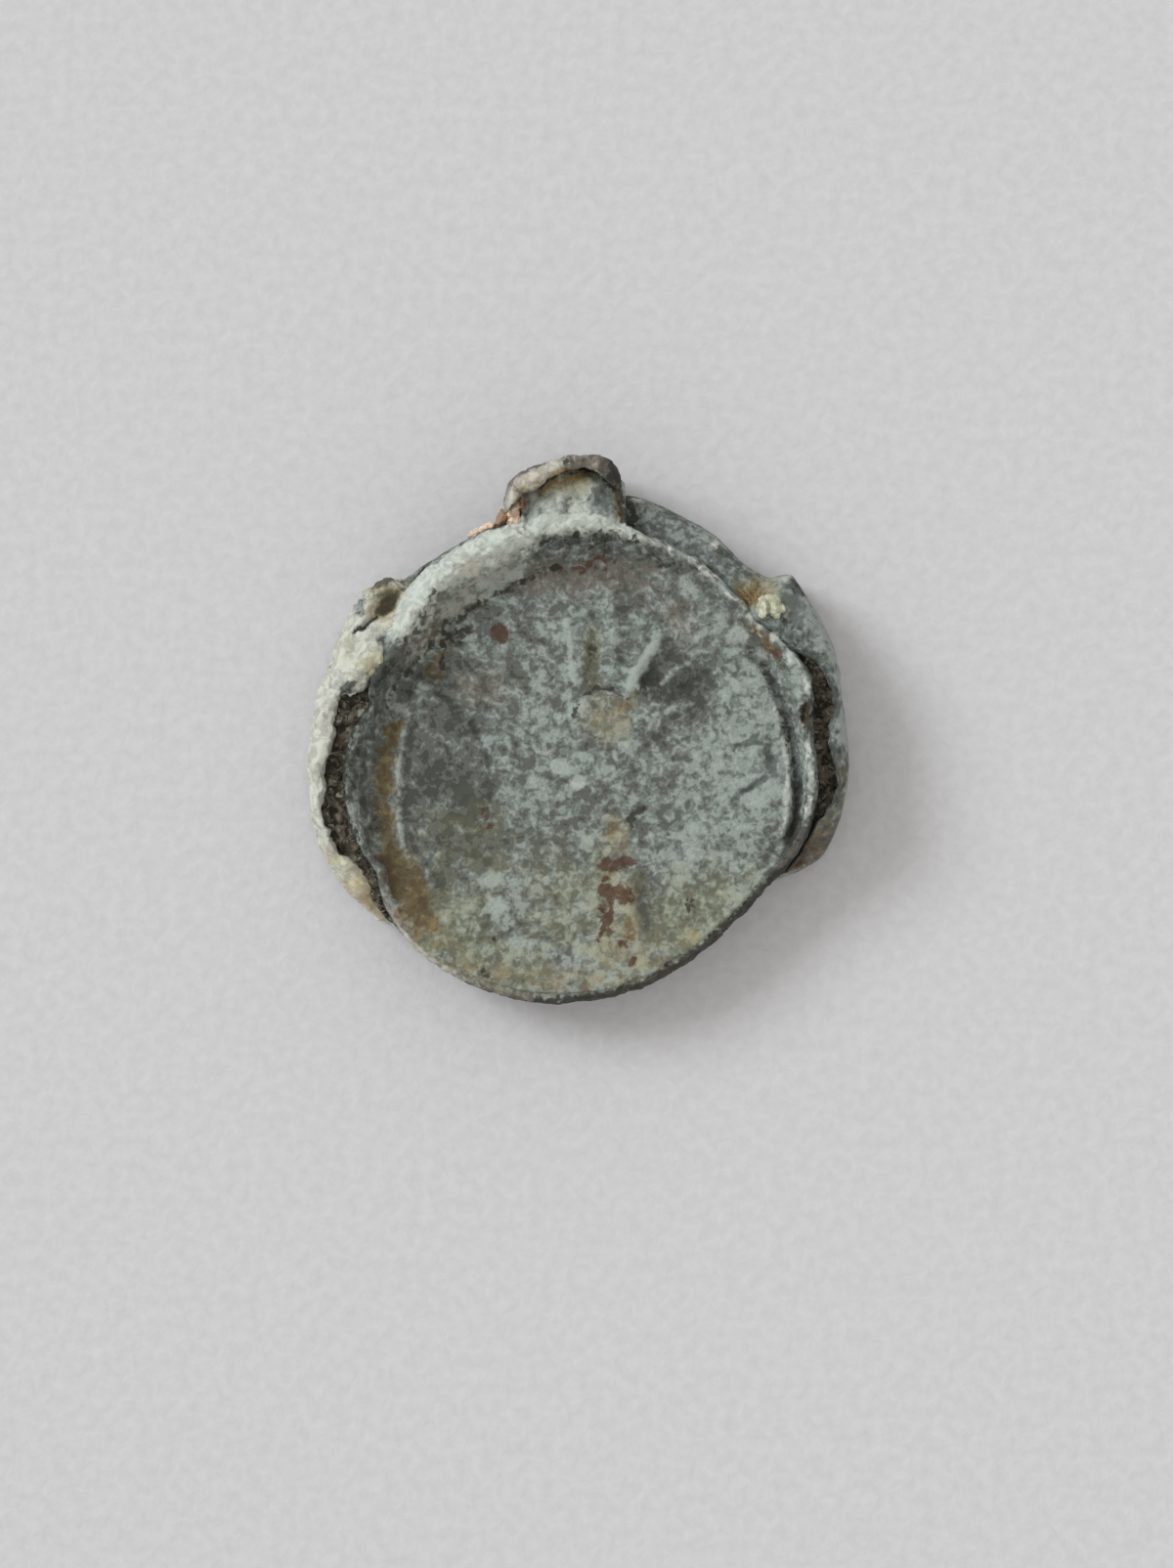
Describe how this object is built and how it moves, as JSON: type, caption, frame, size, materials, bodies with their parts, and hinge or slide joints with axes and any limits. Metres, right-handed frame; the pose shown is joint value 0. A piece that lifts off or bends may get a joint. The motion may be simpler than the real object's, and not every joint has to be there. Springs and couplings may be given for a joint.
{
  "type": "lead seal",
  "caption": "Weathered lead bag or cloth seal: two struck discs folded face to face by a strip, riveted through a scrap of textile.",
  "frame": {"origin": "under the middle of the die's round mark, on the flat surface that the seal rests on", "axes": "+Z out of the struck face, +Y from the middle of the mark to the folded strip, +X to the right when the struck face is seen with the fold at the top"},
  "size_m": [0.022, 0.0224, 0.0052],
  "materials": {
    "rear_lead": "matt, chalky white and grey-green lead corrosion",
    "front_lead": "matt, mottled slate and blue-grey lead corrosion with brown soil stains",
    "strip_lead": "matt, brown-grey lead with a cream crust",
    "rivet_lead": "matt, beige stained lead",
    "cloth": "rough, mineralised textile and soil"
  },
  "bodies": {
    "root": {"rear_disc": "rear_lead", "cloth_remains": "cloth", "front_disc": "front_lead", "connecting_strip": "strip_lead", "rivet": "rivet_lead"}
  },
  "joints": []
}
